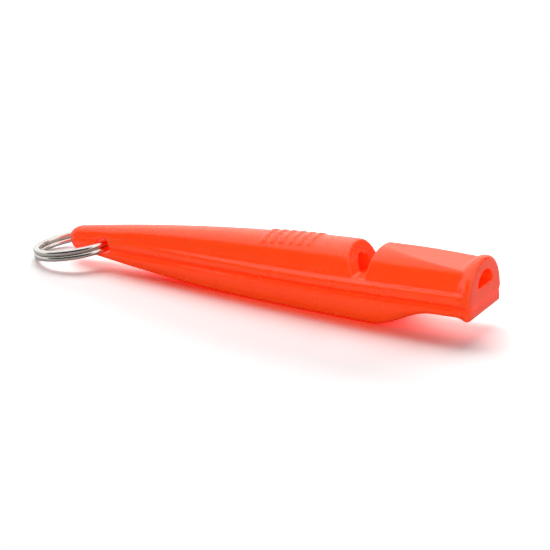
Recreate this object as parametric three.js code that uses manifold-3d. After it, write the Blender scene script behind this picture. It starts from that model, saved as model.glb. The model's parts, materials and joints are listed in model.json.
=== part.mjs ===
// A slim pealess whistle: an upper and a lower moulding joined along a flat seam, with a steel
// split ring through the eye in its tail.
//
// Millimetres, +Z up. The whistle is drawn in its own frame: X runs towards the mouth, whose face
// is at x = 0, Y runs across, and z = 0 is the seam. A station is a distance back from the mouth
// face. The outside is drawn once, as sections along the length, and is then split at the seam.
// The finished whistle is tipped on to the flat of its belly, which is how it lies on a table.

import * as THREE from "three";
import { mergeVertices } from "three/addons/utils/BufferGeometryUtils.js";
import Module from "manifold-3d";

const { cos, sin, hypot, PI } = Math;
const { lerp, smoothstep, degToRad } = THREE.MathUtils;

// Plan and side outline of the body
const LENGTH = 81.1;
const BODY_WIDTH = 13;
const SHOULDER_STATION = 13.5;
const PLAN_FRONT_HANDLE = 24;
const TAIL_WIDTH = 3.5;
const PLAN_TAIL_HANDLE = 22;
const PLAN_TAIL_FLARE = 1.75;
const BARREL_HEIGHT = 7.44;
const CREST_STATION = 19.5;
const TAIL_HEIGHT = 2.95;
const ARCH_SQUARENESS = 0.83;

// Flange, ledge and the groove that hides the seam
const LEDGE_HEIGHT = 2.65;
const LEDGE_WIDTH = 1.25;
const LEDGE_CORNER_SHARE = 0.3;
const LEDGE_DROP_FRONT = 0.3;
const LEDGE_DROP_REAR = 0.75;
const LEDGE_DROP_STATION = 8;
const LEDGE_DROP_RUN = 26;
const LEDGE_LEAST = 0.2;
const LEDGE_DROP_LEAST = 0.1;
const LEDGE_FADE_LENGTH = 7;
const GROOVE_HEIGHT = 1.0;
const GROOVE_DEPTH = 0.7;
const RIM_BAND = 0.3;
const RIM_INSET = 0.3;
const RIM_DROP = 0.25;
const SEAM_GAP = 0.3;

// Underside: mouthpiece, belly flat and the keel that rises to the tail
const UNDERSIDE_DEPTH = 1.69;
const RISE_LENGTH = 11.1;
const BELLY_DEPTH = 5.03;
const BELLY_STATION = 18.4;
const KEEL_BREAK_STATION = 41.5;
const KEEL_BREAK_DEPTH = 4.28;
const KEEL_BEND_DEPTH = 3.5;
const TAIL_DEPTH = 0.45;
const KEEL_FLAT_SHARE = 0.5;
const SIDE_SQUARENESS = 0.72;

// Rounded tail tip, and the eye for the ring
const TIP_ROUND = 2.2;
const TIP_HEIGHT = 1.15;
const TIP_SWEEP = degToRad(86);
const EYE_SETBACK = 7.8;
const EYE_HEIGHT = 0.55;
const EYE_CLEARANCE = 0.3;

// Lip round the mouth end: rounded in front, with a slope behind that runs into the body
const LIP_PROUD = 0.5;
const LIP_RISE = 0.13;
const LIP_FOOT = 0.15;
const LIP_FLAT_SHARE = 0.95;
const LIP_FRONT_ROUND = 0.55;
const LIP_SIDE_BROW = 1.4;
const LIP_TOP_BROW = 0.9;
const LIP_FOOT_BROW = 0.3;
const LIP_LAND = 0.35;
const LIP_BACK_RUN = 2.6;
const LIP_FLARE = 1.6;
const LIP_TOP_DROP = 2.2;
const LIP_SINK = 0.1;

// Sloping facet on top of the mouthpiece
const FACET_LENGTH = 17.3;
const FACET_DROP = 1.54;

// Airway: one flat floor runs from the mouth to the window, and the chamber lies a step lower
const FLOOR_HEIGHT = 2.8;
const WINDWAY_WIDTH = 6.2;
const WINDWAY_HEIGHT = 2.6;
const SLIT_WIDTH = 4.4;
const SLIT_HEIGHT = 1.3;
const WINDOW_STATION = 20.7;
const WINDOW_FLOOR_LENGTH = 2.2;
const WINDOW_CORNER = 0.6;
const WINDOW_FRONT_LEAN = degToRad(12.5);
const WINDOW_REAR_LEAN = degToRad(23);
const CHAMBER_WIDTH = 4.6;
const CHAMBER_HEIGHT = 3.15;
const CHAMBER_LENGTH = 14;
const CHAMBER_STEP = 0.6;
const SILL_THICKNESS = 1.0;
const TONGUE_CLEARANCE = 0.3;
const TONGUE_ROOT = 2.0;

// Raised grip ribs across the crown of the barrel
const RIB_COUNT = 6;
const RIB_STATION = 35.5;
const RIB_PITCH = 1.75;
const RIB_WIDTH = 0.8;
const RIB_LENGTH = 6.5;
const RIB_HEIGHT = 0.3;

// Split ring: two turns of flattened wire with one crank between them
const RING_DIAMETER = 15.6;
const WIRE_WIDTH = 1.2;
const WIRE_THICKNESS = 0.8;
const TURN_GAP = 0.42;
const CRANK_CENTRE = degToRad(-60);
const CRANK_LENGTH = degToRad(36);
const END_TRIM = degToRad(6);
const RING_FLOOR_GAP = 0.05;

// Facets
const ARCH_STEPS = 9;
const SIDE_STEPS = 7;
const NECK_STEPS = 2;
const RISE_STEPS = 8;
const BELLY_STEPS = 6;
const KEEL_STEPS = 9;
const TIP_STEPS = 6;
const LIP_STEPS = 5;
const CORNER_STEPS = 4;
const LEDGE_CORNER_STEPS = 2;
const RING_STEPS_PER_TURN = 32;
const WIRE_SIDES = 8;
const EYE_SIDES = 32;
const HALVINGS = 40;
const MERGE_DISTANCE = 1e-4;
const OVERCUT = 1;

const wasm = await Module();
wasm.setup();

const plastic = new THREE.MeshStandardMaterial({ color: 0xff4a24, roughness: 0.36, metalness: 0 });
const steel = new THREE.MeshStandardMaterial({ color: 0xc8c5be, roughness: 0.22, metalness: 1 });

// Solids

function solidOf(geometry) {
  const bare = geometry.clone();
  bare.deleteAttribute("normal");
  bare.deleteAttribute("uv");
  const merged = mergeVertices(bare, MERGE_DISTANCE);
  return new wasm.Manifold(
    new wasm.Mesh({
      numProp: 3,
      vertProperties: new Float32Array(merged.attributes.position.array),
      triVerts: new Uint32Array(merged.index.array),
    }),
  );
}

function meshOf(name, solid, material) {
  const { vertProperties, triVerts } = solid.getMesh();
  const geometry = new THREE.BufferGeometry();
  geometry.setAttribute("position", new THREE.BufferAttribute(vertProperties, 3));
  geometry.setIndex(new THREE.BufferAttribute(triVerts, 1));
  geometry.computeVertexNormals();
  const mesh = new THREE.Mesh(geometry, material);
  mesh.name = name;
  return mesh;
}

// Skins a run of closed rings that hold the same number of points, and closes both ends.
function loft(rings) {
  const count = rings[0].length;
  const points = rings.flat();
  const faces = [];
  for (let r = 0; r + 1 < rings.length; r++) {
    for (let i = 0; i < count; i++) {
      const a = r * count + i;
      const b = r * count + ((i + 1) % count);
      faces.push(a, b + count, b, a, a + count, b + count);
    }
  }
  for (const [r, turned] of [[0, false], [rings.length - 1, true]]) {
    const middle = rings[r].reduce((sum, p) => sum.add(p), new THREE.Vector3());
    const hub = points.push(middle.divideScalar(count)) - 1;
    for (let i = 0; i < count; i++) {
      const a = r * count + i;
      const b = r * count + ((i + 1) % count);
      faces.push(...(turned ? [b, a, hub] : [a, b, hub]));
    }
  }
  return new THREE.BufferGeometry().setFromPoints(points).setIndex(faces);
}

// A box between two corners given in the whistle's frame.
function boxBetween(low, high) {
  const box = new THREE.Box3(new THREE.Vector3(...low), new THREE.Vector3(...high));
  const size = box.getSize(new THREE.Vector3());
  const { x, y, z } = box.getCenter(new THREE.Vector3());
  return solidOf(new THREE.BoxGeometry(size.x, size.y, size.z).translate(x, y, z));
}

// Outline along the length

// The value of a curve of (station, value) points at one station, by halving.
function valueAt(curve, station) {
  let low = 0;
  let high = 1;
  for (let i = 0; i < HALVINGS; i++) {
    const middle = (low + high) / 2;
    if (curve.getPoint(middle).x < station) low = middle;
    else high = middle;
  }
  return curve.getPoint(low).y;
}

const plan = new THREE.CubicBezierCurve(
  new THREE.Vector2(SHOULDER_STATION, BODY_WIDTH / 2),
  new THREE.Vector2(SHOULDER_STATION + PLAN_FRONT_HANDLE, BODY_WIDTH / 2),
  new THREE.Vector2(LENGTH - PLAN_TAIL_HANDLE, TAIL_WIDTH / 2 + PLAN_TAIL_FLARE),
  new THREE.Vector2(LENGTH, TAIL_WIDTH / 2),
);
const crest = new THREE.QuadraticBezierCurve(
  new THREE.Vector2(CREST_STATION, BARREL_HEIGHT),
  new THREE.Vector2((CREST_STATION + LENGTH) / 2, BARREL_HEIGHT),
  new THREE.Vector2(LENGTH, TAIL_HEIGHT),
);
const keel = new THREE.QuadraticBezierCurve(
  new THREE.Vector2(KEEL_BREAK_STATION, KEEL_BREAK_DEPTH),
  new THREE.Vector2((KEEL_BREAK_STATION + LENGTH) / 2, KEEL_BEND_DEPTH),
  new THREE.Vector2(LENGTH, TAIL_DEPTH),
);

const halfWidthAt = (station) =>
  station < SHOULDER_STATION ? BODY_WIDTH / 2 : valueAt(plan, station);
const crownAt = (station) => (station < CREST_STATION ? BARREL_HEIGHT : valueAt(crest, station));

const riseStation = BELLY_STATION - RISE_LENGTH;

// Depth of the underside: a straight belly, a curved keel behind it, and an S-curve in front.
function depthAt(station) {
  if (station > KEEL_BREAK_STATION) return valueAt(keel, station);
  if (station > BELLY_STATION) {
    const along = (station - BELLY_STATION) / (KEEL_BREAK_STATION - BELLY_STATION);
    return lerp(BELLY_DEPTH, KEEL_BREAK_DEPTH, along);
  }
  const rise = smoothstep(station, riseStation, BELLY_STATION);
  return lerp(UNDERSIDE_DEPTH, BELLY_DEPTH, rise);
}

// One cross-section as [y, z] points, from the keel up the right side, over the crown and back.
// The ledge slopes down from the barrel to the flange, and both its corners are rounded.
function section({ half, ledge, drop, spring, crown, depth, flat, bow }) {
  const rim = half - RIM_INSET;
  const barrel = half - ledge;
  const corner = ledge * LEDGE_CORNER_SHARE;
  const foot = spring + corner;
  const outer = new THREE.Vector2(half, spring - drop);
  const inner = new THREE.Vector2(barrel, spring);
  const slope = inner.clone().sub(outer).setLength(corner);
  const brow = new THREE.QuadraticBezierCurve(
    new THREE.Vector2(half, outer.y - corner),
    outer,
    outer.clone().add(slope),
  );
  const nook = new THREE.QuadraticBezierCurve(
    inner.clone().sub(slope),
    inner,
    new THREE.Vector2(barrel, foot),
  );
  const right = [];
  for (let i = 0; i <= SIDE_STEPS; i++) {
    const angle = (PI / 2) * (1 - i / SIDE_STEPS);
    const across = Math.max(cos(angle), 0) ** SIDE_SQUARENESS;
    const down = sin(angle) ** SIDE_SQUARENESS;
    right.push([flat + (rim - flat) * across, -RIM_DROP - (depth - RIM_DROP) * down]);
  }
  right.push([half - GROOVE_DEPTH, 0]);
  right.push([half, GROOVE_HEIGHT]);
  for (const curve of [brow, nook]) {
    right.push(...curve.getPoints(LEDGE_CORNER_STEPS).map((point) => point.toArray()));
  }
  for (let i = 1; i < ARCH_STEPS; i++) {
    const angle = ((PI / 2) * i) / ARCH_STEPS;
    right.push([barrel * cos(angle) ** bow, foot + (crown - foot) * sin(angle) ** bow]);
  }
  const left = right.map(([y, z]) => [-y, z]).reverse();
  return [...right, [0, crown], ...left];
}

const leastSpring = GROOVE_HEIGHT + RIM_BAND + LEDGE_DROP_LEAST;
const eyeStation = LENGTH - EYE_SETBACK;
const lipWidth = BODY_WIDTH + 2 * LIP_PROUD;
const lipCrown = BARREL_HEIGHT + LIP_RISE;
const lipDepth = UNDERSIDE_DEPTH + LIP_FOOT;
const lipLandEnd = LIP_FRONT_ROUND + LIP_LAND;

const ringAt = (station, outline) => outline.map(([y, z]) => new THREE.Vector3(-station, y, z));

// Evenly spaced stations, without the last one.
const span = (from, to, steps) =>
  Array.from({ length: steps }, (_, i) => lerp(from, to, i / steps));

// The body without its lip, from inside the lip to the rounded tail tip. A raised skin has a
// higher crown.
function bodyForm(raise = 0) {
  const tipStart = LENGTH - TIP_ROUND;
  const tipTurn = TIP_SWEEP / (TIP_STEPS - 1);
  const stations = [
    ...span(LIP_FRONT_ROUND, riseStation, NECK_STEPS),
    ...span(riseStation, BELLY_STATION, RISE_STEPS),
    ...span(BELLY_STATION, KEEL_BREAK_STATION, BELLY_STEPS),
    ...span(KEEL_BREAK_STATION, tipStart, KEEL_STEPS),
    ...Array.from({ length: TIP_STEPS }, (_, i) => tipStart + TIP_ROUND * sin(tipTurn * i)),
  ];
  return loft(
    stations.map((station) => {
      const half = halfWidthAt(station);
      const fade = smoothstep(station, eyeStation - LEDGE_FADE_LENGTH, eyeStation);
      const tilt = smoothstep(station, LEDGE_DROP_STATION, LEDGE_DROP_STATION + LEDGE_DROP_RUN);
      const drop = lerp(LEDGE_DROP_FRONT, LEDGE_DROP_REAR, tilt);
      const outline = section({
        half,
        ledge: lerp((LEDGE_WIDTH * half * 2) / BODY_WIDTH, LEDGE_LEAST, fade),
        drop: lerp(drop, LEDGE_DROP_LEAST, fade),
        spring: lerp(LEDGE_HEIGHT, leastSpring, fade),
        crown: crownAt(station) + raise,
        depth: depthAt(station),
        flat: half * KEEL_FLAT_SHARE,
        bow: ARCH_SQUARENESS,
      });
      const along = Math.max(station - tipStart, 0) / TIP_ROUND;
      const shrink = Math.sqrt(1 - along * along);
      return ringAt(
        station,
        outline.map(([y, z]) => [y * shrink, lerp(TIP_HEIGHT, z, shrink)]),
      );
    }),
  );
}

// The lip stands out round the mouth face, and behind its land it flares into the body.
function lipForm() {
  const lipEnd = lipLandEnd + LIP_BACK_RUN;
  const stations = [
    ...span(PI / 2, 0, LIP_STEPS).map((turn) => LIP_FRONT_ROUND * (1 - sin(turn))),
    LIP_FRONT_ROUND,
    ...span(lipLandEnd, lipEnd, LIP_STEPS),
    lipEnd,
  ];
  return loft(
    stations.map((station) => {
      const lead = Math.max(LIP_FRONT_ROUND - station, 0) / LIP_FRONT_ROUND;
      const brow = 1 - Math.sqrt(1 - lead ** 2);
      const trail = Math.max(station - lipLandEnd, 0) / LIP_BACK_RUN;
      const stand = (1 - trail) ** LIP_FLARE;
      const half = lerp(BODY_WIDTH / 2 - LIP_SINK, lipWidth / 2, stand) - LIP_SIDE_BROW * brow;
      return ringAt(
        station,
        section({
          half,
          ledge: lerp(LEDGE_WIDTH, LEDGE_LEAST, stand),
          drop: lerp(LEDGE_DROP_FRONT, LEDGE_DROP_LEAST, stand),
          spring: lerp(LEDGE_HEIGHT - LIP_SINK, leastSpring, stand),
          crown: lipCrown - LIP_TOP_BROW * brow - LIP_TOP_DROP * trail ** 2,
          depth: lerp(UNDERSIDE_DEPTH - LIP_SINK, lipDepth, stand) - LIP_FOOT_BROW * brow,
          flat: half * lerp(KEEL_FLAT_SHARE, LIP_FLAT_SHARE, stand),
          bow: lerp(ARCH_SQUARENESS, 1, stand),
        }),
      );
    }),
  );
}

// Bars that the raised skin trims to ribs. They fade out down the sides of the barrel.
function ribs() {
  const skin = solidOf(bodyForm(RIB_HEIGHT));
  const bars = Array.from({ length: RIB_COUNT }, (_, i) => {
    const station = RIB_STATION + RIB_PITCH * (i - (RIB_COUNT - 1) / 2);
    const bar = new THREE.BoxGeometry(RIB_WIDTH, RIB_LENGTH, BARREL_HEIGHT);
    return solidOf(bar.translate(-station, 0, BARREL_HEIGHT));
  });
  return bars.reduce((all, bar) => all.add(bar)).intersect(skin);
}

// Cutters

// A prism drawn in the side view, as (x, z), and run right across the body.
function acrossBody(shape) {
  const reach = lipWidth + 2 * OVERCUT;
  const options = { depth: reach, bevelEnabled: false, curveSegments: CORNER_STEPS };
  const prism = new THREE.ExtrudeGeometry(shape, options);
  return solidOf(prism.rotateX(PI / 2).translate(0, reach / 2, 0));
}

// The facet starts level with the crown of the barrel and drops towards the mouth.
function facetCutter() {
  const above = 2 * BARREL_HEIGHT;
  const slope = FACET_DROP / FACET_LENGTH;
  const outline = new THREE.Shape();
  outline.moveTo(-FACET_LENGTH - OVERCUT, BARREL_HEIGHT + slope * OVERCUT);
  outline.lineTo(OVERCUT, BARREL_HEIGHT - FACET_DROP - slope * OVERCUT);
  outline.lineTo(OVERCUT, above);
  outline.lineTo(-FACET_LENGTH - OVERCUT, above);
  outline.closePath();
  return acrossBody(outline);
}

const windowFront = -WINDOW_STATION + WINDOW_FLOOR_LENGTH / 2;
const windowRear = -WINDOW_STATION - WINDOW_FLOOR_LENGTH / 2;

// The V-shaped window: two walls of unequal lean, and a floor rounded into both.
function windowCutter() {
  const above = BARREL_HEIGHT + OVERCUT;
  const walls = [
    { foot: windowRear, lean: -WINDOW_REAR_LEAN, inwards: 1 },
    { foot: windowFront, lean: WINDOW_FRONT_LEAN, inwards: -1 },
  ].map(({ foot, lean, inwards }) => ({
    top: foot + (above - FLOOR_HEIGHT) * Math.tan(lean),
    bend: foot + WINDOW_CORNER * sin(lean),
    bendHeight: FLOOR_HEIGHT + WINDOW_CORNER * cos(lean),
    foot,
    floor: foot + inwards * WINDOW_CORNER,
  }));
  const [rear, front] = walls;
  const outline = new THREE.Shape();
  outline.moveTo(rear.top, above);
  outline.lineTo(rear.bend, rear.bendHeight);
  outline.quadraticCurveTo(rear.foot, FLOOR_HEIGHT, rear.floor, FLOOR_HEIGHT);
  outline.lineTo(front.floor, FLOOR_HEIGHT);
  outline.quadraticCurveTo(front.foot, FLOOR_HEIGHT, front.bend, front.bendHeight);
  outline.lineTo(front.top, above);
  outline.closePath();
  return acrossBody(outline);
}

// A passage with a flat floor and an arched roof, given by its station and sizes at each end.
function passage(ends) {
  return solidOf(
    loft(
      ends.map(({ station, floor, width, height }) => {
        const outline = [];
        for (let i = 0; i <= 2 * ARCH_STEPS; i++) {
          const angle = (PI * i) / (2 * ARCH_STEPS);
          outline.push([(width / 2) * cos(angle), floor + height * sin(angle)]);
        }
        return ringAt(station, outline);
      }),
    ),
  );
}

// The windway narrows from the mouth to a slit at the window.
function windwayCutter() {
  const taper = (station, wide, narrow) => lerp(wide, narrow, station / -windowFront);
  return passage(
    [-OVERCUT, OVERCUT - windowFront].map((station) => ({
      station,
      floor: FLOOR_HEIGHT,
      width: taper(station, WINDWAY_WIDTH, SLIT_WIDTH),
      height: taper(station, WINDWAY_HEIGHT, SLIT_HEIGHT),
    })),
  );
}

const chamberFront = windowRear + WINDOW_CORNER;
const chamberRear = windowRear - CHAMBER_LENGTH;
const chamberFloor = FLOOR_HEIGHT - CHAMBER_STEP;

function chamberCutter() {
  const size = { floor: chamberFloor, width: CHAMBER_WIDTH, height: CHAMBER_HEIGHT };
  return passage([-chamberFront, -chamberRear].map((station) => ({ station, ...size })));
}

const wireRadius = (RING_DIAMETER - WIRE_WIDTH) / 2;
const turnPitch = WIRE_THICKNESS + TURN_GAP;
const stackHalf = (turnPitch + WIRE_THICKNESS) / 2;

// The wire bows as it passes through the eye, so the pivot lies halfway along that bow.
const eyeHalfWidth = halfWidthAt(eyeStation);
const wireBow = wireRadius - Math.sqrt(wireRadius ** 2 - eyeHalfWidth ** 2);
const pivotToCentre = wireRadius - wireBow / 2;

// The eye lets the two turns through at any tilt.
const eyeDiameter = hypot(2 * stackHalf, WIRE_WIDTH + wireBow) + 2 * EYE_CLEARANCE;

function eyeCutter() {
  const radius = eyeDiameter / 2;
  const bore = new THREE.CylinderGeometry(radius, radius, BODY_WIDTH, EYE_SIDES);
  return solidOf(bore.translate(-eyeStation, 0, EYE_HEIGHT));
}

// Mouldings

// Below the chamber the upper moulding is open as a slot. A tongue on the lower moulding fills the
// slot, and its top is the floor of the chamber.
function mouldings() {
  const blank = solidOf(bodyForm())
    .add(ribs())
    .subtract(facetCutter())
    .add(solidOf(lipForm()))
    .subtract(windowCutter())
    .subtract(windwayCutter())
    .subtract(chamberCutter())
    .subtract(eyeCutter());
  const reach = LENGTH + OVERCUT;
  const above = BARREL_HEIGHT + OVERCUT;
  const below = BELLY_DEPTH + OVERCUT;
  const slotFront = windowRear - SILL_THICKNESS;
  const slotHalf = CHAMBER_WIDTH / 2;
  const tongueHalf = slotHalf - TONGUE_CLEARANCE;
  const slot = boxBetween([chamberRear, -slotHalf, -SEAM_GAP], [slotFront, slotHalf, chamberFloor]);
  const upper = blank
    .subtract(boxBetween([-reach, -BODY_WIDTH, -below], [OVERCUT, BODY_WIDTH, SEAM_GAP / 2]))
    .subtract(slot);
  const tongue = boxBetween(
    [chamberRear + TONGUE_CLEARANCE, -tongueHalf, -TONGUE_ROOT],
    [slotFront - TONGUE_CLEARANCE, tongueHalf, chamberFloor],
  );
  const lower = blank
    .subtract(boxBetween([-reach, -BODY_WIDTH, -SEAM_GAP / 2], [OVERCUT, BODY_WIDTH, above]))
    .add(tongue);
  return [meshOf("upper_moulding", upper, plastic), meshOf("lower_moulding", lower, plastic)];
}

// Split ring

// The ring in its own frame: pivot at the origin, centre towards -X, turns stacked along Z.
function splitRing() {
  const clear = CRANK_LENGTH / 2 + END_TRIM;
  const step = (2 * PI) / RING_STEPS_PER_TURN;
  const start = CRANK_CENTRE - 2 * PI + clear;
  const end = CRANK_CENTRE + 2 * PI - clear;
  const rings = [];
  for (let angle = start; angle <= end; angle += step) {
    const crank = smoothstep(angle - CRANK_CENTRE, -CRANK_LENGTH / 2, CRANK_LENGTH / 2);
    const height = lerp(-turnPitch / 2, turnPitch / 2, crank);
    const ring = [];
    for (let i = 0; i < WIRE_SIDES; i++) {
      const turn = (2 * PI * i) / WIRE_SIDES;
      const radius = wireRadius + (WIRE_WIDTH / 2) * cos(turn);
      const lift = height - (WIRE_THICKNESS / 2) * sin(turn);
      ring.push(new THREE.Vector3(radius * cos(angle) - pivotToCentre, -radius * sin(angle), lift));
    }
    rings.push(ring);
  }
  return { rings, geometry: loft(rings) };
}

// Least distance between points of the wire that lie more than a quarter turn apart along it.
function leastGap(rings) {
  const apart = RING_STEPS_PER_TURN / 4;
  let least = Infinity;
  rings.forEach((ring, r) => {
    for (const other of rings.slice(r + apart)) {
      for (const p of ring) {
        for (const q of other) least = Math.min(least, p.distanceTo(q));
      }
    }
  });
  return least;
}

// Assembly

const restAngle = Math.atan((BELLY_DEPTH - KEEL_BREAK_DEPTH) / (KEEL_BREAK_STATION - BELLY_STATION));
const restLift = BELLY_STATION * sin(restAngle) + BELLY_DEPTH * cos(restAngle);

// The ring hangs until its far side meets the table.
const eyeRestHeight = restLift - eyeStation * sin(restAngle) + EYE_HEIGHT * cos(restAngle);
const ringReach = pivotToCentre + RING_DIAMETER / 2;
const ringReachAngle = Math.atan(stackHalf / ringReach);
const ringDroop =
  Math.asin((eyeRestHeight - RING_FLOOR_GAP) / hypot(ringReach, stackHalf)) - ringReachAngle;

const wire = splitRing();
console.log(`split ring: least gap between turns ${leastGap(wire.rings).toFixed(3)} mm`);

const ring = meshOf("split_ring", solidOf(wire.geometry), steel);
ring.position.set(-eyeStation, 0, EYE_HEIGHT);
ring.rotation.y = restAngle - ringDroop;

const lying = new THREE.Group();
lying.add(...mouldings(), ring);
lying.rotation.y = -restAngle;
lying.position.z = restLift;

const whistle = new THREE.Group();
whistle.add(lying);
const box = new THREE.Box3().setFromObject(whistle, true);
lying.position.x = -(box.min.x + box.max.x) / 2;

export default whistle;
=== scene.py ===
# %% [markdown]
# # A slim whistle with a split ring
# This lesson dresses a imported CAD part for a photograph. The part is a pealess whistle of two
# orange-red mouldings, joined along a seam, with a steel split ring through its tail. The CAD
# solids are correct but crisp, so each one gets a softer piece here that looks like moulded
# plastic or bent wire. The camera, the lamps and the floor are in metres. The sizes of the
# whistle are millimetres in its own frame, and each finished piece is scaled to metres and put
# where its CAD solid lies.

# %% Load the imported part
import json
import math

import bmesh
import bpy
import numpy as np
from mathutils import Matrix, Vector


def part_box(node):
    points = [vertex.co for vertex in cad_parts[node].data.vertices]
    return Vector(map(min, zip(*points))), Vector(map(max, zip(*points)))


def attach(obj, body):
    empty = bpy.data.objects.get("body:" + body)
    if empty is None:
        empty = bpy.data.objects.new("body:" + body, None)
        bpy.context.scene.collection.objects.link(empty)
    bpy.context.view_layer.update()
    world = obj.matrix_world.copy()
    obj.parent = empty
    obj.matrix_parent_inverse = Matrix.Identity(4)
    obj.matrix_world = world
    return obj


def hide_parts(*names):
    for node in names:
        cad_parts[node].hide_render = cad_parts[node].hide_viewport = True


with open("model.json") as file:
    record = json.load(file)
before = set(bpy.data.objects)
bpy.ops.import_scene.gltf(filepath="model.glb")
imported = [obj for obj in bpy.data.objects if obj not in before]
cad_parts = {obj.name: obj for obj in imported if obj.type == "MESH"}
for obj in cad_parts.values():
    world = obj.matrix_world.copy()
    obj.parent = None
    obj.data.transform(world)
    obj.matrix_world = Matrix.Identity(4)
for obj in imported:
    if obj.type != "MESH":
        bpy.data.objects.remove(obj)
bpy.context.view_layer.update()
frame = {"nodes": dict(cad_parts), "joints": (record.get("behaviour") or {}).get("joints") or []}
scene = bpy.context.scene
scene.view_settings.view_transform = "Standard"
print("CAD nodes:", sorted(frame["nodes"]))

# %% [markdown]
# ## Camera
# The camera comes first, because every later choice is judged through it. It could be placed by
# eye. Here its turn, height and focal length were found by fitting the edges of the part to the
# edges in the photograph. The lens is long, as on a product photograph, so the near end hardly
# grows.

# %% Camera
IMAGE_WIDTH = 550
FOCAL_PIXELS = 2308
CAMERA_TURN = math.radians(28.04)
CAMERA_RAISE = math.radians(19.63)
CAMERA_DISTANCE = 0.400
CAMERA_AIM = Vector((0.004235, 0.000549, 0.003283))


def add_object(name, data):
    thing = bpy.data.objects.new(name, data)
    scene.collection.objects.link(thing)
    return thing


def set_up(thing, place, facing):
    """Puts a thing at a place, with its own Z axis along facing."""
    thing.location = place
    thing.rotation_euler = Vector(facing).to_track_quat("Z", "Y").to_euler()


away = Vector((
    math.sin(CAMERA_TURN) * math.cos(CAMERA_RAISE),
    -math.cos(CAMERA_TURN) * math.cos(CAMERA_RAISE),
    math.sin(CAMERA_RAISE),
))
lens = bpy.data.cameras.new("camera")
lens.lens = lens.sensor_width * FOCAL_PIXELS / IMAGE_WIDTH
camera = add_object("camera", lens)
set_up(camera, CAMERA_AIM + CAMERA_DISTANCE * away, away)
scene.camera = camera
print(f"camera: {lens.lens:.1f} mm lens at", [round(c, 3) for c in camera.location])

# %% [markdown]
# ## White room
# The photograph has white all round the whistle. A backdrop could be built for that, but a plain
# white world is enough. It shows its full white to the camera, in reflections and through clear
# things, and gives almost none of it as light, so that the lamps can make a clear shadow. The
# Light Path node tells these rays apart.

# %% White room
WORLD_LIGHT, WORLD_SEEN = 0.025, 1.0
WHITE = (1.0, 1.0, 1.0, 1.0)


def add_node(tree, kind, values=None, **settings):
    """A new shader node, with its settings and the values of some of its inputs."""
    node = tree.nodes.new("ShaderNode" + kind)
    for name, value in settings.items():
        setattr(node, name, value)
    for socket, value in (values or {}).items():
        node.inputs[socket].default_value = value
    return node


world = bpy.data.worlds.new("white_room")
scene.world = world
world.use_nodes = True
tree = world.node_tree
tree.nodes.clear()
ray = add_node(tree, "LightPath")
direct = add_node(tree, "Math", operation="MAXIMUM")
shown = add_node(tree, "Math", operation="MAXIMUM")
level = add_node(tree, "MapRange", {"To Min": WORLD_LIGHT, "To Max": WORLD_SEEN})
white = add_node(tree, "Background", {"Color": WHITE})
room = add_node(tree, "OutputWorld")
tree.links.new(ray.outputs["Is Camera Ray"], direct.inputs[0])
tree.links.new(ray.outputs["Is Glossy Ray"], direct.inputs[1])
tree.links.new(direct.outputs[0], shown.inputs[0])
tree.links.new(ray.outputs["Is Transmission Ray"], shown.inputs[1])
tree.links.new(shown.outputs[0], level.inputs["Value"])
tree.links.new(level.outputs["Result"], white.inputs["Strength"])
tree.links.new(white.outputs["Background"], room.inputs["Surface"])
print("world: seen at", WORLD_SEEN, "and lights with", WORLD_LIGHT)

# %% [markdown]
# ## Lamps
# The photograph was lit from above and behind, which puts the shadow in front. One lamp would
# leave the near side too dark, so there are three soft panels. The overhead panel is the main
# light, behind the whistle and to the left. The low panel at the back sends light under the raised
# mouth, where the floor is pale. The front panel only lifts the near side. It would wash out the
# shadow, so light linking lets it reach the whistle and not the floor. No panel shows to the
# camera or in reflections, because the white room is already there.

# %% Lamps
LAMPS = (
    # name, width and height in metres, place, power in watts
    ("overhead", (0.60, 0.45), (-0.20, 0.32, 0.54), 2.55),
    ("low_back", (1.20, 0.28), (-0.06, 0.64, 0.20), 4.8),
    ("front_fill", (0.90, 0.24), (0.24, -0.57, 0.24), 3.6),
)

fill_lit = bpy.data.collections.new("lit_by_front_fill")
for name, size, place, power in LAMPS:
    panel = bpy.data.lights.new(name, "AREA")
    panel.shape = "RECTANGLE"
    panel.size, panel.size_y = size
    panel.energy = power
    lamp = add_object(name, panel)
    set_up(lamp, place, place)
    lamp.visible_camera = False
    lamp.visible_glossy = False
    if name == "front_fill":
        lamp.light_linking.receiver_collection = fill_lit
    print("lamp:", name, power, "W over", size, "m")

# %% [markdown]
# ## Floor
# The whistle lies on plain white paper. A single diffuse shader would do for paper, but the
# photograph is exposed so that the paper is pure white and still has a deep shadow. So the floor
# is brighter to the camera than it is as a reflector, and dimmer in reflections than the room. Far
# from the whistle it turns into an even white, so that no view has a horizon. Only the camera sees
# that white, and it is not sampled as a lamp.

# %% Floor
FLOOR_SIZE = 6.0
FLOOR_SEEN, FLOOR_BOUNCE, FLOOR_MIRRORED = 2.12, 0.50, 0.72
FADE_NEAR, FADE_FAR = 0.08, 0.16


def flat_sheet(name, width, depth):
    mesh = bpy.data.meshes.new(name)
    corners = [(-1, -1), (1, -1), (1, 1), (-1, 1)]
    mesh.from_pydata([(x * width / 2, y * depth / 2, 0) for x, y in corners], [], [(0, 1, 2, 3)])
    return add_object(name, mesh)


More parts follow.
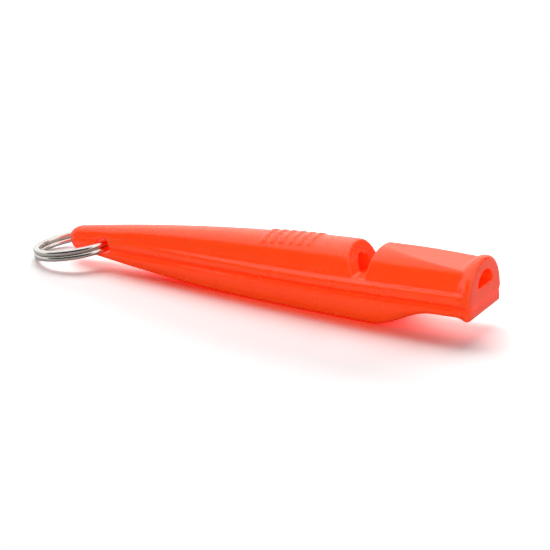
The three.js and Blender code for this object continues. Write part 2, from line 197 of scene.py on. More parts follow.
paper = bpy.data.materials.new("white_paper")
paper.use_nodes = True
paper.cycles.emission_sampling = "NONE"
tree = paper.node_tree
tree.nodes.clear()
ray = add_node(tree, "LightPath")
tone = add_node(tree, "MapRange", {"To Min": FLOOR_BOUNCE, "To Max": FLOOR_SEEN})
mirrored = add_node(tree, "Mix", {"B": FLOOR_MIRRORED})
matt = add_node(tree, "BsdfDiffuse")
tree.links.new(ray.outputs["Is Camera Ray"], tone.inputs["Value"])
tree.links.new(ray.outputs["Is Glossy Ray"], mirrored.inputs["Factor"])
tree.links.new(tone.outputs["Result"], mirrored.inputs["A"])
tree.links.new(mirrored.outputs["Result"], matt.inputs["Color"])
spot = add_node(tree, "NewGeometry")
reach = add_node(tree, "VectorMath", operation="LENGTH")
fade = add_node(tree, "MapRange", {"From Min": FADE_NEAR, "From Max": FADE_FAR},
                interpolation_type="SMOOTHSTEP")
far_off = add_node(tree, "Math", operation="MULTIPLY")
even_white = add_node(tree, "Emission", {"Color": WHITE})
blend = add_node(tree, "MixShader")
surface = add_node(tree, "OutputMaterial")
tree.links.new(spot.outputs["Position"], reach.inputs[0])
tree.links.new(reach.outputs["Value"], fade.inputs["Value"])
tree.links.new(fade.outputs["Result"], far_off.inputs[0])
tree.links.new(ray.outputs["Is Camera Ray"], far_off.inputs[1])
tree.links.new(far_off.outputs[0], blend.inputs["Fac"])
tree.links.new(matt.outputs["BSDF"], blend.inputs[1])
tree.links.new(even_white.outputs["Emission"], blend.inputs[2])
tree.links.new(blend.outputs["Shader"], surface.inputs["Surface"])
floor = flat_sheet("floor", FLOOR_SIZE, FLOOR_SIZE)
floor.data.materials.append(paper)
print("floor:", FLOOR_SIZE, "m wide, even white beyond", FADE_FAR, "m")

# %% [markdown]
# ## Dark cards
# Glossy things show what stands round them. Photographers put up black cards to draw dark lines
# into bright metal and to keep a glossy colour deep. A flag behind the camera and a mat on the
# floor in front of the whistle do that here, and a small card at the back right darkens the rear
# wall of the window. Real cards would also take light away, so these are sheets that only
# reflections can see.

# %% Dark cards
CARD_SHADE, CARD_ROUGHNESS = (0.02, 0.02, 0.02, 1.0), 1.0
CARDS = (
    # name, width and height in metres, place, direction that it faces
    ("flag", (2.4, 0.70), (0.05, -0.55, 0.29), (0.05, -0.55, 0.29)),
    ("dark_mat", (2.4, 0.56), (0.05, -0.33, 0.0005), (0, 0, 1)),
    ("side_card", (0.50, 0.26), (0.44, 0.66, 0.13), (0.44, 0.66, 0.13)),
)

dark = bpy.data.materials.new("dark_card")
dark.use_nodes = True
dark_skin = dark.node_tree.nodes["Principled BSDF"]
dark_skin.inputs["Base Color"].default_value = CARD_SHADE
dark_skin.inputs["Roughness"].default_value = CARD_ROUGHNESS
for name, size, place, facing in CARDS:
    card = flat_sheet(name, *size)
    set_up(card, place, facing)
    card.data.materials.append(dark)
    card.visible_camera = False
    card.visible_diffuse = False
    card.visible_shadow = False
print("cards:", [name for name, *_ in CARDS])

# %% [markdown]
# ## Outline of the whistle
# The body narrows from the mouthpiece to the tail, and its crown and underside fall and rise along
# the way. On a real mould these are three smooth curves: one in plan, one along the crown and one
# along the keel. They could be drawn by hand as curve objects. Here they are short lists of
# control points, with the same numbers as the CAD solids, so that the dressed pieces lie where the
# solids do. A station is a distance from the mouth face, and the x axis points out of the mouth.

# %% Outline curves
LENGTH, BODY_WIDTH, TAIL_WIDTH = 81.1, 13.0, 3.5
BARREL_HEIGHT, TAIL_HEIGHT = 7.44, 2.95
SHOULDER_STATION, WAIST_STATION = 13.5, 37.5
TAPER_LENGTH, TAPER_HALF = 22.0, 3.5
PLAN = [(SHOULDER_STATION, BODY_WIDTH / 2), (WAIST_STATION, BODY_WIDTH / 2),
        (LENGTH - TAPER_LENGTH, TAPER_HALF), (LENGTH, TAIL_WIDTH / 2)]
CREST_STATION = 19.5
CREST = [(CREST_STATION, BARREL_HEIGHT), ((CREST_STATION + LENGTH) / 2, BARREL_HEIGHT),
         (LENGTH, TAIL_HEIGHT)]
MOUTH_DEPTH, RISE_STATION = 1.69, 7.3
BELLY_STATION, BELLY_DEPTH = 18.4, 5.03
KEEL_STATION, KEEL_DEPTH = 41.5, 4.28
KEEL_BEND_DEPTH, TAIL_DEPTH = 3.5, 0.45
KEEL = [(KEEL_STATION, KEEL_DEPTH), ((KEEL_STATION + LENGTH) / 2, KEEL_BEND_DEPTH),
        (LENGTH, TAIL_DEPTH)]
CURVE_SAMPLES = 600


def smooth_curve(controls):
    """Points on the curve that starts and ends at the outer controls and leans to the others."""
    along = np.linspace(0.0, 1.0, CURVE_SAMPLES)[:, None]
    rows = [np.array(point) + 0 * along for point in controls]
    while len(rows) > 1:
        rows = [a + (b - a) * along for a, b in zip(rows, rows[1:])]
    return rows[0]


plan_curve, crest_curve, keel_curve = (smooth_curve(points) for points in (PLAN, CREST, KEEL))


def part_way(start, end, share):
    return start + (end - start) * share


def ease(value, low, high):
    """From 0 at low to 1 at high, with a slow start and a slow end."""
    share = min(max((value - low) / (high - low), 0.0), 1.0)
    return share * share * (3 - 2 * share)


def half_width(station):
    return float(np.interp(station, plan_curve[:, 0], plan_curve[:, 1]))


def crown_height(station):
    return float(np.interp(station, crest_curve[:, 0], crest_curve[:, 1]))


def keel_depth(station):
    if station < BELLY_STATION:
        return part_way(MOUTH_DEPTH, BELLY_DEPTH, ease(station, RISE_STATION, BELLY_STATION))
    if station < KEEL_STATION:
        return float(np.interp(station, [BELLY_STATION, KEEL_STATION], [BELLY_DEPTH, KEEL_DEPTH]))
    return float(np.interp(station, keel_curve[:, 0], keel_curve[:, 1]))


print("half width at the shoulder, half way and at the tail:",
      [round(half_width(s), 2) for s in (SHOULDER_STATION, LENGTH / 2, LENGTH)])

# %% [markdown]
# ## One cross-section
# Cut across, the whistle is a half-round barrel on a ledge, a straight flange under the ledge, a
# sloping groove that hides the seam, and a belly with a squarish turn. It could be traced once and
# scaled, but the parts change size at different rates along the body. So one function draws the
# section for any width and height. The corners of the ledge are small rounds and the barrel flares
# a little at its foot, because the light runs along both in the photograph. The groove is a share
# of the width. It is deeper than in the CAD solids, because the softening later fills it in, and
# the belly turns more squarely than theirs.

# %% Cross-section
LEDGE_HEIGHT, LEDGE_WIDTH, LEDGE_DROP_FRONT = 2.65, 1.25, 0.3
CORNER_SHARE = 0.3
GROOVE_HEIGHT, GROOVE_SHARE = 0.78, 0.2
BELLY_INSET, BELLY_DROP, BELLY_SQUARENESS = 0.3, 0.62, 0.60
ARCH_SQUARENESS = 0.83
FOOT_FLARE, FOOT_FLARE_RISE = 0.16, 0.42
BELLY_STEPS, ARCH_STEPS, CORNER_STEPS = 18, 26, 5


def rounded_corner(before, corner, after):
    share = np.linspace(0.0, 1.0, CORNER_STEPS + 1)[:, None]
    before, corner, after = (np.array(point) for point in (before, corner, after))
    return before * (1 - share) ** 2 + corner * 2 * share * (1 - share) + after * share ** 2


def section(half, ledge, drop, spring, crown, depth, flat,
            bow=ARCH_SQUARENESS, groove_share=GROOVE_SHARE):
    """A ring of (y, z) points. The ledge falls by drop from the barrel to the flange."""
    belly_half, barrel = half - BELLY_INSET, half - ledge
    corner = ledge * CORNER_SHARE
    outer = np.array((half, spring - drop))
    inner = np.array((barrel + FOOT_FLARE * ledge, spring))
    lean = (inner - outer) / np.linalg.norm(inner - outer) * corner
    foot = spring + corner
    turn = np.linspace(math.pi / 2, 0.0, BELLY_STEPS + 1)
    across = np.maximum(np.cos(turn), 0.0) ** BELLY_SQUARENESS
    down = np.maximum(np.sin(turn), 0.0) ** BELLY_SQUARENESS
    belly = np.stack([part_way(flat, belly_half, across),
                      -BELLY_DROP - (depth - BELLY_DROP) * down], 1)
    groove = [(half * (1 - groove_share), 0.0), (half, GROOVE_HEIGHT)]
    brow = rounded_corner((half, spring - drop - corner), outer, outer + lean)
    nook = rounded_corner(inner - lean, inner, (inner[0], foot))
    sweep = np.linspace(0.0, math.pi / 2, ARCH_STEPS + 1)[1:]
    side, rise = np.maximum(np.cos(sweep), 0.0) ** bow, np.sin(sweep) ** bow
    flare = FOOT_FLARE * ledge * np.maximum(1 - rise / FOOT_FLARE_RISE, 0.0) ** 2
    arch = np.stack([barrel * side + flare, foot + (crown - foot) * rise], 1)
    right = np.concatenate([belly, groove, brow, nook, arch])
    left = right[-2::-1] * (-1, 1)
    return np.concatenate([right, left])


trial = section(BODY_WIDTH / 2, LEDGE_WIDTH, LEDGE_DROP_FRONT, LEDGE_HEIGHT, BARREL_HEIGHT,
                BELLY_DEPTH, BODY_WIDTH / 4)
print("points in one section:", len(trial))

# %% [markdown]
# ## A skin over sections
# A loft is a row of sections that are joined face by face into one closed shell. It could be
# bridged by hand in edit mode. A short function does the same for any number of sections, and is
# used for the body, the lip, the air passages and the ring.

# %% Loft
def ring_at(station, outline):
    return np.column_stack([np.full(len(outline), -station), outline])


def add_mesh(name, points, faces):
    mesh = bpy.data.meshes.new(name)
    mesh.from_pydata([tuple(p) for p in points], [], faces)
    shape = bmesh.new()
    shape.from_mesh(mesh)
    bmesh.ops.recalc_face_normals(shape, faces=shape.faces)
    shape.to_mesh(mesh)
    shape.free()
    return add_object(name, mesh)


def loft(name, rings):
    """Skins a run of closed rings that hold the same number of points, and closes both ends."""
    count = len(rings[0])
    faces = []
    for r in range(len(rings) - 1):
        for i in range(count):
            a, b = r * count + i, r * count + (i + 1) % count
            faces.append((a, b, b + count, a + count))
    faces.append(tuple(range(count)))
    faces.append(tuple(range((len(rings) - 1) * count, len(rings) * count)))
    return add_mesh(name, np.concatenate(rings), faces)


print("faces between two sections:", len(trial))

# %% [markdown]
# ## Body
# The body of the real whistle is one long tapering barrel. It could be a stretched cylinder that is
# pushed into shape, but a loft of sections follows the outline curves exactly. Near the tail the
# ledge fades out, and the last sections shrink to a rounded tip.

# %% Body
LEDGE_LEAST = 0.2
LEDGE_DROP_REAR, LEDGE_DROP_LEAST = 0.75, 0.1
LEDGE_DROP_RUN = (8.0, 34.0)
LEDGE_FADE = (66.3, 73.3)
FADED_LEDGE_HEIGHT = 1.4
KEEL_FLAT_SHARE = 0.62
TIP_ROUND, TIP_HEIGHT, TIP_SWEEP = 2.2, 1.15, math.radians(86)
TIP_STEPS = 14
STATION_STEP = 0.5
LIP_ROUND = 0.55


def body_section(station, raised):
    half = half_width(station)
    fade = ease(station, *LEDGE_FADE)
    ledge = LEDGE_WIDTH * half * 2 / BODY_WIDTH
    drop = part_way(LEDGE_DROP_FRONT, LEDGE_DROP_REAR, ease(station, *LEDGE_DROP_RUN))
    return section(
        half,
        part_way(ledge, LEDGE_LEAST, fade),
        part_way(drop, LEDGE_DROP_LEAST, fade),
        part_way(LEDGE_HEIGHT, FADED_LEDGE_HEIGHT, fade),
        crown_height(station) + raised,
        keel_depth(station),
        half * KEEL_FLAT_SHARE,
    )


def body_loft(name, raised=0.0):
    tip_start = LENGTH - TIP_ROUND
    steps = round((tip_start - LIP_ROUND) / STATION_STEP)
    turns = np.linspace(0, TIP_SWEEP, TIP_STEPS)
    stations = [*np.linspace(LIP_ROUND, tip_start, steps, endpoint=False),
                *(tip_start + TIP_ROUND * np.sin(turns))]
    rings = []
    for station in stations:
        outline = body_section(station, raised)
        shrink = math.sqrt(1 - (max(station - tip_start, 0) / TIP_ROUND) ** 2)
        rings.append(ring_at(station, outline * shrink + (0, TIP_HEIGHT * (1 - shrink))))
    return loft(name, rings)


body = body_loft("body")
print("body faces:", len(body.data.polygons))

# %% [markdown]
# ## Lip
# A lip stands out round the mouth end, for the teeth to hold. It could be a bevelled collar, but
# its top, sides and foot stand out by different amounts. So it is a second loft with its own
# sections. It starts at the mouth face with a rounded edge, keeps its size for a short way and
# slopes back into the body. Its groove is shallower, as it is on the real one.

# %% Lip
LIP_WIDTH, LIP_CROWN, LIP_DEPTH = 14.0, 7.57, 1.84
LIP_FLAT_SHARE, LIP_GROOVE_SHARE, LIP_SQUARENESS = 0.95, 0.08, 1.0
LIP_SIDE_BROW, LIP_TOP_BROW, LIP_FOOT_BROW = 1.4, 0.9, 0.3
LIP_LAND_END, LIP_BACK_RUN, LIP_BACK_CURVE = 0.9, 2.6, 1.6
LIP_TOP_DROP, LIP_SINK = 2.2, 0.1
LIP_STEPS = 12


def lip_section(station):
    lead = max(LIP_ROUND - station, 0) / LIP_ROUND
    brow = 1 - math.sqrt(1 - lead ** 2)
    trail = max(station - LIP_LAND_END, 0) / LIP_BACK_RUN
    stand = (1 - trail) ** LIP_BACK_CURVE
    half = part_way(BODY_WIDTH / 2 - LIP_SINK, LIP_WIDTH / 2, stand) - LIP_SIDE_BROW * brow
    return section(
        half,
        part_way(LEDGE_WIDTH, LEDGE_LEAST, stand),
        part_way(LEDGE_DROP_FRONT, LEDGE_DROP_LEAST, stand),
        part_way(LEDGE_HEIGHT - LIP_SINK, FADED_LEDGE_HEIGHT, stand),
        LIP_CROWN - LIP_TOP_BROW * brow - LIP_TOP_DROP * trail ** 2,
        part_way(MOUTH_DEPTH - LIP_SINK, LIP_DEPTH, stand) - LIP_FOOT_BROW * brow,
        half * part_way(KEEL_FLAT_SHARE, LIP_FLAT_SHARE, stand),
        part_way(ARCH_SQUARENESS, LIP_SQUARENESS, stand),
        LIP_GROOVE_SHARE,
    )


lip_stations = [*(LIP_ROUND * (1 - np.sin(np.linspace(math.pi / 2, 0, LIP_STEPS)))),
                *np.linspace(LIP_LAND_END, LIP_LAND_END + LIP_BACK_RUN, LIP_STEPS)]
lip = loft("lip", [ring_at(s, lip_section(s)) for s in lip_stations])
print("lip faces:", len(lip.data.polygons))

# %% [markdown]
# ## Grip ribs
# A short row of low ribs crosses the crown of the barrel. They could be bent one by one to its
# curve. It is simpler to start from straight bars and cut them off with a skin that follows the
# barrel a little higher up, so that the ribs stand out evenly and fade away down the sides.

# %% Grip ribs
RIB_COUNT, RIB_STATION, RIB_PITCH = 6, 35.5, 1.75
RIB_WIDTH, RIB_LENGTH, RIB_HEIGHT = 0.8, 6.5, 0.3
RIB_FOOT, ABOVE = 4.0, 12.0
BAR_FACES = [(0, 1, 3, 2), (4, 6, 7, 5), (0, 4, 5, 1), (2, 3, 7, 6), (0, 2, 6, 4), (1, 5, 7, 3)]


def settle(piece):
    """Puts the result of a piece's modifiers into its mesh."""
    bpy.context.view_layer.update()
    solved = piece.evaluated_get(bpy.context.evaluated_depsgraph_get())
    mesh = bpy.data.meshes.new_from_object(solved)
    piece.modifiers.clear()
    old, piece.data = piece.data, mesh
    mesh.name = piece.name
    bpy.data.meshes.remove(old)


def combine(piece, tool, operation):
    step = piece.modifiers.new(operation.lower(), "BOOLEAN")
    step.operation, step.object, step.solver = operation, tool, "EXACT"
    settle(piece)
    bpy.data.objects.remove(tool)


bar_points, bar_faces = [], []
for i in range(RIB_COUNT):
    middle = -(RIB_STATION + RIB_PITCH * (i - (RIB_COUNT - 1) / 2))
    bar_faces += [tuple(len(bar_points) + k for k in face) for face in BAR_FACES]
    bar_points += [(middle + dx * RIB_WIDTH / 2, dy * RIB_LENGTH / 2, z)
                   for dx in (-1, 1) for dy in (-1, 1) for z in (RIB_FOOT, ABOVE)]
ribs = add_mesh("ribs", bar_points, bar_faces)
combine(ribs, body_loft("raised_skin", RIB_HEIGHT), "INTERSECT")
print("ribs:", RIB_COUNT, "with", len(ribs.data.polygons), "faces")

# %% [markdown]
# ## Cutters
# Every flat and hollow is cut out of the blank. A sloping facet flattens the top of the
# mouthpiece. A V-shaped window lets the air out. The windway narrows from a D-shaped mouth to a
# slit at the window, and the chamber behind it has a floor that lies a step lower. The eye in the
# tail takes the ring. All this could be modelled face by face, but each cut is a plain prism or a
# short loft, so separate cutters are easier to make and to change.

# %% Cutters
FACET_LENGTH, FACET_DROP = 17.3, 1.54
PASSAGE_FLOOR, CHAMBER_STEP = 2.8, 0.6
WINDOW_FRONT, WINDOW_REAR = -19.6, -21.8
WINDOW_FRONT_LEAN, WINDOW_REAR_LEAN = math.radians(12.5), math.radians(23)
WINDWAY_SIZE, SLIT_SIZE, CHAMBER_SIZE = (6.2, 2.6), (4.4, 1.3), (4.6, 3.15)
CHAMBER_LEAD, CHAMBER_LENGTH = 0.6, 14.0
EYE_STATION, EYE_HEIGHT, EYE_DIAMETER = 73.3, 0.55, 3.17
EYE_SIDES = 48
CUTTER_WIDTH, OVERSHOOT = 16.0, 1.0


def prism(name, outline):
    """A side view drawn as (x, z), run right across the body."""
    count = len(outline)
    points = [(x, y, z) for y in (-CUTTER_WIDTH / 2, CUTTER_WIDTH / 2) for x, z in outline]
    faces = [tuple(range(count)), tuple(range(count, 2 * count))]
    faces += [(i, (i + 1) % count, count + (i + 1) % count, count + i) for i in range(count)]
    return add_mesh(name, points, faces)


def passage(name, floor_height, ends):
    """A tunnel with a flat floor and an arched roof, from its size at each end."""
    sweep = np.linspace(0, math.pi, 2 * ARCH_STEPS + 1)
    rings = []
    for station, (width, height) in ends:
        outline = np.stack([width / 2 * np.cos(sweep), floor_height + height * np.sin(sweep)], 1)
        rings.append(ring_at(station, outline))
    return loft(name, rings)


def windway_size(station):
    share = station / -WINDOW_FRONT
    return tuple(part_way(a, b, share) for a, b in zip(WINDWAY_SIZE, SLIT_SIZE))


facet_rear, facet_front = -FACET_LENGTH - OVERSHOOT, OVERSHOOT
facet_excess = OVERSHOOT * FACET_DROP / FACET_LENGTH
facet = prism("facet", [
    (facet_rear, BARREL_HEIGHT + facet_excess),
    (facet_front, BARREL_HEIGHT - FACET_DROP - facet_excess),
    (facet_front, ABOVE),
    (facet_rear, ABOVE),
])
window = prism("window", [
    (WINDOW_REAR - (ABOVE - PASSAGE_FLOOR) * math.tan(WINDOW_REAR_LEAN), ABOVE),
    (WINDOW_REAR, PASSAGE_FLOOR),
    (WINDOW_FRONT, PASSAGE_FLOOR),
    (WINDOW_FRONT + (ABOVE - PASSAGE_FLOOR) * math.tan(WINDOW_FRONT_LEAN), ABOVE),
])
windway_ends = (-OVERSHOOT, OVERSHOOT - WINDOW_FRONT)
windway = passage("windway", PASSAGE_FLOOR, [(s, windway_size(s)) for s in windway_ends])
chamber_floor = PASSAGE_FLOOR - CHAMBER_STEP
chamber_ends = (-WINDOW_REAR - CHAMBER_LEAD, -WINDOW_REAR + CHAMBER_LENGTH)
chamber = passage("chamber", chamber_floor, [(s, CHAMBER_SIZE) for s in chamber_ends])
eye = prism("eye", [
    (-EYE_STATION + EYE_DIAMETER / 2 * math.cos(t), EYE_HEIGHT + EYE_DIAMETER / 2 * math.sin(t))
    for t in np.linspace(0, 2 * math.pi, EYE_SIDES, endpoint=False)
])
cutters = (window, windway, chamber, eye)
print("cutters ready:", [cutter.name for cutter in (facet, *cutters)])

# %% [markdown]
# ## Cut the blank
# The order matters here. The ribs join the body first, then the facet is cut, and only then does
# the lip go on, because on the real whistle it stands above the end of the facet. The other cuts
# come last and go through all of it.

# %% Cut the blank
combine(body, ribs, "UNION")
combine(body, facet, "DIFFERENCE")
combine(body, lip, "UNION")
for cutter in cutters:
    combine(body, cutter, "DIFFERENCE")
print("blank faces after the cuts:", len(body.data.polygons))

# %% [markdown]
# ## Soft moulded edges
# A mould gives every edge a small round, and the light along those rounds is what makes plastic
# look like plastic. A bevel would stumble over the many cut faces. A voxel remesh turns the blank
# into an even grid of small faces instead, and a few rounds of smoothing then soften each edge by
# about a third of a millimetre, the same all over.

# %% Soften
VOXEL = 0.17
SMOOTH_FACTOR, SMOOTH_ROUNDS = 0.5, 8


def soften(piece, rounds, group=""):
    step = piece.modifiers.new("soften", "SMOOTH")
    step.factor, step.iterations, step.vertex_group = SMOOTH_FACTOR, rounds, group
    settle(piece)


grid = body.modifiers.new("grid", "REMESH")
grid.mode = "VOXEL"
grid.voxel_size = VOXEL
soften(body, SMOOTH_ROUNDS)
print("faces after the remesh:", len(body.data.polygons))

# %% [markdown]
# ## Rounder rim of the window
# The rear wall of the window has a broader round than the other edges, and it catches a pale line
# of light. A larger cutter fillet could make it. It is easier to mark the points near that wall in
# a vertex group and smooth only those again. The mouth of the chamber and the floor stay out of the
# group, so that they keep their edge.

# %% Round the rim of the window
WINDOW_RIM_REACH, WINDOW_RIM_ROUNDS = 0.9, 16
CHAMBER_MARGIN = 0.5

spots = np.array([vertex.co for vertex in body.data.vertices])
rise = spots[:, 2] - PASSAGE_FLOOR
ahead = spots[:, 0] - WINDOW_REAR + rise * math.tan(WINDOW_REAR_LEAN)
from_wall = ahead * math.cos(WINDOW_REAR_LEAN)
from_chamber = np.hypot(spots[:, 1] / (CHAMBER_SIZE[0] / 2 + CHAMBER_MARGIN),
                        (spots[:, 2] - chamber_floor) / (CHAMBER_SIZE[1] + CHAMBER_MARGIN))
on_rim = (np.abs(from_wall) < WINDOW_RIM_REACH) & (from_chamber > 1) & (rise > CHAMBER_MARGIN)
rim_group = body.vertex_groups.new(name="window_rim")
rim_group.add([int(i) for i in np.flatnonzero(on_rim)], 1.0, "REPLACE")
soften(body, WINDOW_RIM_ROUNDS, rim_group.name)
print("points on the rim of the window:", int(on_rim.sum()))

# %% [markdown]
# ## Split at the seam
# The real body is two mouldings. Two blanks could be softened apart, but then their edges would
# round away from each other and leave a wide gap. So the softened blank is cut at the seam into an
# upper and a lower piece, with a hairline between them. The cut faces stay sharp, so the seam reads
# as a fine line at the foot of the groove. Each half is then laid down as the CAD solid lies.

# %% Split at the seam
MILLIMETRE = 0.001
SEAM_LINE = 0.05
PIVOT = Vector(frame["joints"][0]["pos_m"])
LIE_ANGLE = math.atan((BELLY_DEPTH - KEEL_DEPTH) / (KEEL_STATION - BELLY_STATION))


def hung_on_pivot(angle):
    """Scales to metres, turns by an angle and moves to the pivot of the ring."""
    turned = Matrix.Rotation(-angle, 4, "Y") @ Matrix.Scale(MILLIMETRE, 4)
    return Matrix.Translation(PIVOT) @ turned


lying = hung_on_pivot(LIE_ANGLE) @ Matrix.Translation((EYE_STATION, 0, -EYE_HEIGHT))


def half_of(blank, name, upper):
    shape = bmesh.new()
    shape.from_mesh(blank.data)
    side = 1 if upper else -1
    everything = shape.verts[:] + shape.edges[:] + shape.faces[:]
    bmesh.ops.bisect_plane(shape, geom=everything, plane_co=(0, 0, side * SEAM_LINE / 2),
                           plane_no=(0, 0, side), clear_inner=True)
    seam = [edge for edge in shape.edges if edge.is_boundary]
    for face in shape.faces:
        face.smooth = True
    caps = bmesh.ops.holes_fill(shape, edges=seam)["faces"]
    for sharp in (*caps, *seam):
        sharp.smooth = False
    bmesh.ops.transform(shape, matrix=lying, verts=shape.verts)
    bmesh.ops.recalc_face_normals(shape, faces=shape.faces)
    mesh = bpy.data.meshes.new(name)
    shape.to_mesh(mesh)
    shape.free()
    return add_object(name, mesh)


upper_body = half_of(body, "upper_body", True)
lower_body = half_of(body, "lower_body", False)
bpy.data.objects.remove(body)
print("upper and lower faces:", len(upper_body.data.polygons), len(lower_body.data.polygons))

# %% [markdown]
# ## Split ring
# The ring is one length of flattened wire wound twice, with a crank where it steps from one turn
# to the other. The turns spring against each other, so only a hairline shows between them. Two
# plain rings would hide the crank, so the wire is a loft along the real path, with its two cut
# ends. The crank sits behind the tail.

# %% Split ring
RING_DIAMETER = 15.6
WIRE_WIDTH, WIRE_THICKNESS, WIRE_SQUARENESS = 1.2, 0.98, 0.72
TURN_PITCH = 1.01
CRANK_CENTRE, CRANK_LENGTH, END_TRIM = math.radians(-60), math.radians(36), math.radians(5)
END_ROUND, END_LEAST = 0.25, 0.6
WIRE_STEPS, WIRE_SIDES = 300, 20

ring_low, ring_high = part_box("split_ring")
ring_middle = (ring_low + ring_high) / 2
ring_droop = math.atan2(PIVOT.z - ring_middle.z, PIVOT.x - ring_middle.x)
centre_reach = math.hypot(PIVOT.z - ring_middle.z, PIVOT.x - ring_middle.x) / MILLIMETRE
wire_radius = (RING_DIAMETER - WIRE_WIDTH) / 2


def wire_section(size):
    turn = np.linspace(0, 2 * math.pi, WIRE_SIDES, endpoint=False)
    c, s = np.cos(turn), np.sin(turn)
    out = np.sign(c) * np.abs(c) ** WIRE_SQUARENESS * WIRE_WIDTH / 2
    up = np.sign(s) * np.abs(s) ** WIRE_SQUARENESS * WIRE_THICKNESS / 2
    return out * size, up * size


clear = CRANK_LENGTH / 2 + END_TRIM
first, last = CRANK_CENTRE - 2 * math.pi + clear, CRANK_CENTRE + 2 * math.pi - clear
rings = []
for angle in np.linspace(first, last, WIRE_STEPS):
    from_end = min(angle - first, last - angle) * wire_radius
    lead = max(END_ROUND - from_end, 0) / END_ROUND
    out, up = wire_section(part_way(END_LEAST, 1.0, math.sqrt(1 - lead * lead)))
    step = ease(angle, CRANK_CENTRE - CRANK_LENGTH / 2, CRANK_CENTRE + CRANK_LENGTH / 2) - 0.5
    x = (wire_radius + out) * math.cos(angle) - centre_reach
    y = -(wire_radius + out) * math.sin(angle)
    rings.append(np.column_stack([x, y, step * TURN_PITCH + up]))
wire_ring = loft("wire_ring", rings)
wire_ring.data.transform(hung_on_pivot(ring_droop))
for face in wire_ring.data.polygons:
    face.use_smooth = len(face.vertices) == 4
print(f"ring: droops {math.degrees(ring_droop):.1f} degrees, {len(wire_ring.data.polygons)} faces")

# %% [markdown]
# ## Cloudiness
# No surface is quite even. Pigment in plastic and plating on steel change slowly from place to
# place. Both materials use this effect at several scales, so it is a node group that puts out a
# mask, and each material decides what the mask does.

# %% Cloudiness
MIDDLE_GREY = 0.5
CLOUD_DETAIL = 4.0


def new_group(name, inputs):
    """A node group with number inputs and one output, a mask."""
    group = bpy.data.node_groups.new(name, "ShaderNodeTree")
    for label, value in inputs.items():
        socket = group.interface.new_socket(label, in_out="INPUT", socket_type="NodeSocketFloat")
        socket.default_value = value
    group.interface.new_socket("Mask", in_out="OUTPUT", socket_type="NodeSocketFloat")
    return group, group.nodes.new("NodeGroupInput"), group.nodes.new("NodeGroupOutput")


cloud_group, given, result = new_group("cloudiness", {"Scale": 100.0, "Contrast": 1.0})
place = add_node(cloud_group, "TexCoord")
cloud = add_node(cloud_group, "TexNoise", {"Detail": CLOUD_DETAIL})
centre = add_node(cloud_group, "Math", {1: MIDDLE_GREY}, operation="SUBTRACT")
spread = add_node(cloud_group, "Math", {2: MIDDLE_GREY}, operation="MULTIPLY_ADD", use_clamp=True)
cloud_group.links.new(place.outputs["Object"], cloud.inputs["Vector"])
cloud_group.links.new(given.outputs["Scale"], cloud.inputs["Scale"])
cloud_group.links.new(cloud.outputs["Fac"], centre.inputs[0])
cloud_group.links.new(centre.outputs[0], spread.inputs[0])
cloud_group.links.new(given.outputs["Contrast"], spread.inputs[1])
cloud_group.links.new(spread.outputs[0], result.inputs["Mask"])
print("group:", cloud_group.name, "with", len(cloud_group.nodes), "nodes")

# %% [markdown]
# ## Handling marks
# Keys and lanyards leave fine hairlines on bright metal, in all directions and only in patches. A
# painted picture could carry them, but a node group needs no picture and works at any size. The
# edges of bent cells make the hairs, and a slow noise keeps only some of them. Only the steel uses
# this group. It stands apart so that the steel's own cell stays short.

# %% Handling marks
BEND_SCALE, BEND_DETAIL, BEND_AMOUNT = 200.0, 1.0, (0.004, 0.004, 0.004)
PATCH_SCALE, PATCH_START, PATCH_FULL = 260.0, 0.52, 0.62

marks_group, given, result = new_group("handling_marks", {"Scale": 300.0, "Fineness": 0.03})
place = add_node(marks_group, "TexCoord")
bend = add_node(marks_group, "TexNoise", {"Scale": BEND_SCALE, "Detail": BEND_DETAIL})
shift = add_node(marks_group, "VectorMath", {1: BEND_AMOUNT}, operation="MULTIPLY_ADD")
cells = add_node(marks_group, "TexVoronoi", feature="DISTANCE_TO_EDGE")
hair = add_node(marks_group, "Math", operation="LESS_THAN")
patch = add_node(marks_group, "TexNoise", {"Scale": PATCH_SCALE})
keep = add_node(marks_group, "MapRange", {"From Min": PATCH_START, "From Max": PATCH_FULL})
both = add_node(marks_group, "Math", operation="MULTIPLY")
marks_group.links.new(place.outputs["Object"], bend.inputs["Vector"])
marks_group.links.new(bend.outputs["Color"], shift.inputs[0])
marks_group.links.new(place.outputs["Object"], shift.inputs[2])
marks_group.links.new(shift.outputs["Vector"], cells.inputs["Vector"])
marks_group.links.new(given.outputs["Scale"], cells.inputs["Scale"])
marks_group.links.new(cells.outputs["Distance"], hair.inputs[0])
marks_group.links.new(given.outputs["Fineness"], hair.inputs[1])
marks_group.links.new(place.outputs["Object"], patch.inputs["Vector"])
marks_group.links.new(patch.outputs["Fac"], keep.inputs["Value"])
marks_group.links.new(hair.outputs[0], both.inputs[0])
marks_group.links.new(keep.outputs["Result"], both.inputs[1])
marks_group.links.new(both.outputs[0], result.inputs["Mask"])
print("group:", marks_group.name, "with", len(marks_group.nodes), "nodes")
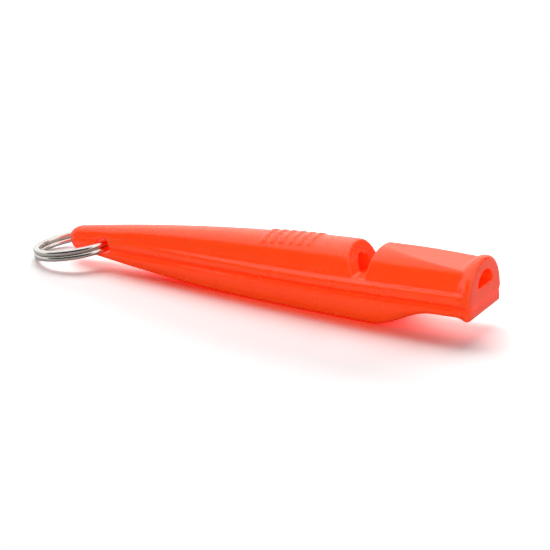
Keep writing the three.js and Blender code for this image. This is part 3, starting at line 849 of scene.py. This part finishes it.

# %% [markdown]
# ## Orange-red plastic
# The plastic is a bright, almost glowing orange-red with a soft gloss. Light goes a little way into
# it and comes back red, which keeps the hollows warm, so a part of the colour is subsurface light.
# A weak red emission is painted light: the plastic glows a little by itself, which lifts its shaded
# sides and hollows and reddens the shadow on the floor. In part it stands for the fluorescent
# pigment.
# A brighter base colour alone would turn the plastic pale. The pigment is slightly cloudy, the
# gloss changes a little from place to place, and a very fine grain from the mould breaks up the
# highlight.

# %% Orange-red plastic
PLASTIC, PLASTIC_DEEP = (0.98, 0.100, 0.014, 1.0), (0.96, 0.088, 0.012, 1.0)
PLASTIC_ROUGHNESS = (0.22, 0.30)
PLASTIC_SKIN = {
    "IOR": 1.62,
    # painted light: the plastic's own red glow lifts its shade and reddens the floor shadow, partly
    # for the fluorescent pigment
    "Emission Color": (1.0, 0.01, 0.0, 1.0),
    "Emission Strength": 0.30,
    "Subsurface Weight": 0.6,
    "Subsurface Radius": (1.0, 0.12, 0.05),
    "Subsurface Scale": 0.003,
}
PIGMENT = {"Scale": 160.0, "Contrast": 1.6}
GLOSS = {"Scale": 420.0, "Contrast": 1.2}
GRAIN = {"Scale": 5200.0, "Contrast": 1.0}
GRAIN_RELIEF = {"Strength": 0.10, "Distance": 0.00002}


def new_material(name, values):
    """A material, its shader with some values set, and its node tree."""
    material = bpy.data.materials.new(name)
    material.use_nodes = True
    skin = material.node_tree.nodes["Principled BSDF"]
    for socket, value in values.items():
        skin.inputs[socket].default_value = value
    return material, skin, material.node_tree


def mask_from(tree, group, values):
    return add_node(tree, "Group", values, node_tree=group).outputs["Mask"]


def blend_colour(tree, mask, first_colour, second_colour):
    mix = add_node(tree, "Mix", {"A": first_colour, "B": second_colour}, data_type="RGBA")
    tree.links.new(mask, mix.inputs["Factor"])
    return mix.outputs["Result"]


def spread_mask(tree, mask, low, high):
    reach = add_node(tree, "MapRange", {"To Min": low, "To Max": high})
    tree.links.new(mask, reach.inputs["Value"])
    return reach.outputs["Result"]


def bump(tree, mask, values):
    relief = add_node(tree, "Bump", values)
    tree.links.new(mask, relief.inputs["Height"])
    return relief.outputs["Normal"]


plastic, skin, tree = new_material("orange_red_plastic", PLASTIC_SKIN)
pigment = mask_from(tree, cloud_group, PIGMENT)
gloss = mask_from(tree, cloud_group, GLOSS)
grain = mask_from(tree, cloud_group, GRAIN)
tree.links.new(blend_colour(tree, pigment, PLASTIC, PLASTIC_DEEP), skin.inputs["Base Color"])
tree.links.new(spread_mask(tree, gloss, *PLASTIC_ROUGHNESS), skin.inputs["Roughness"])
tree.links.new(bump(tree, grain, GRAIN_RELIEF), skin.inputs["Normal"])
print("plastic:", PLASTIC)

# %% [markdown]
# ## Nickel-plated steel
# The ring is bright plated spring steel. It shows mostly what is round it: white above, the dark
# flag in front, and the red tail beside it. A flat grey would never look like metal, so the shader
# is fully metallic. The plating is a little warm, its polish is uneven, and the handling marks are
# pressed in very slightly.

# %% Nickel-plated steel
STEEL, STEEL_WORN = (0.93, 0.91, 0.87, 1.0), (0.80, 0.76, 0.70, 1.0)
STEEL_ROUGHNESS = (0.07, 0.19)
STEEL_SKIN = {"Metallic": 1.0}
PLATING = {"Scale": 700.0, "Contrast": 1.8}
POLISH = {"Scale": 2600.0, "Contrast": 1.4}
MARKS = {"Scale": 900.0, "Fineness": 0.02}
MARKS_RELIEF = {"Strength": 0.25, "Distance": -0.00001}

steel, skin, tree = new_material("nickel_steel", STEEL_SKIN)
plating = mask_from(tree, cloud_group, PLATING)
polish = mask_from(tree, cloud_group, POLISH)
marks = mask_from(tree, marks_group, MARKS)
tree.links.new(blend_colour(tree, plating, STEEL, STEEL_WORN), skin.inputs["Base Color"])
tree.links.new(spread_mask(tree, polish, *STEEL_ROUGHNESS), skin.inputs["Roughness"])
tree.links.new(bump(tree, marks, MARKS_RELIEF), skin.inputs["Normal"])
print("steel:", STEEL)

# %% [markdown]
# ## Put the pieces in place
# Each piece takes its material, rides on the body that carries it, and stands for its CAD solid.
# The pieces could be joined into one mesh, but then nothing could move. The ring rides on its own
# body, so that it swings about the eye when the joint moves. The front lamp lights all three.

# %% Dress the part
for piece, material, body_name, node, slot in (
    (upper_body, plastic, "whistle", "upper_moulding", "body_plastic"),
    (lower_body, plastic, "whistle", "lower_moulding", "body_plastic"),
    (wire_ring, steel, "ring", "split_ring", "ring_steel"),
):
    piece.data.materials.clear()
    piece.data.materials.append(material)
    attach(piece, body_name)
    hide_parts(node)
    fill_lit.objects.link(piece)
    print(piece.name, "stands for", node)
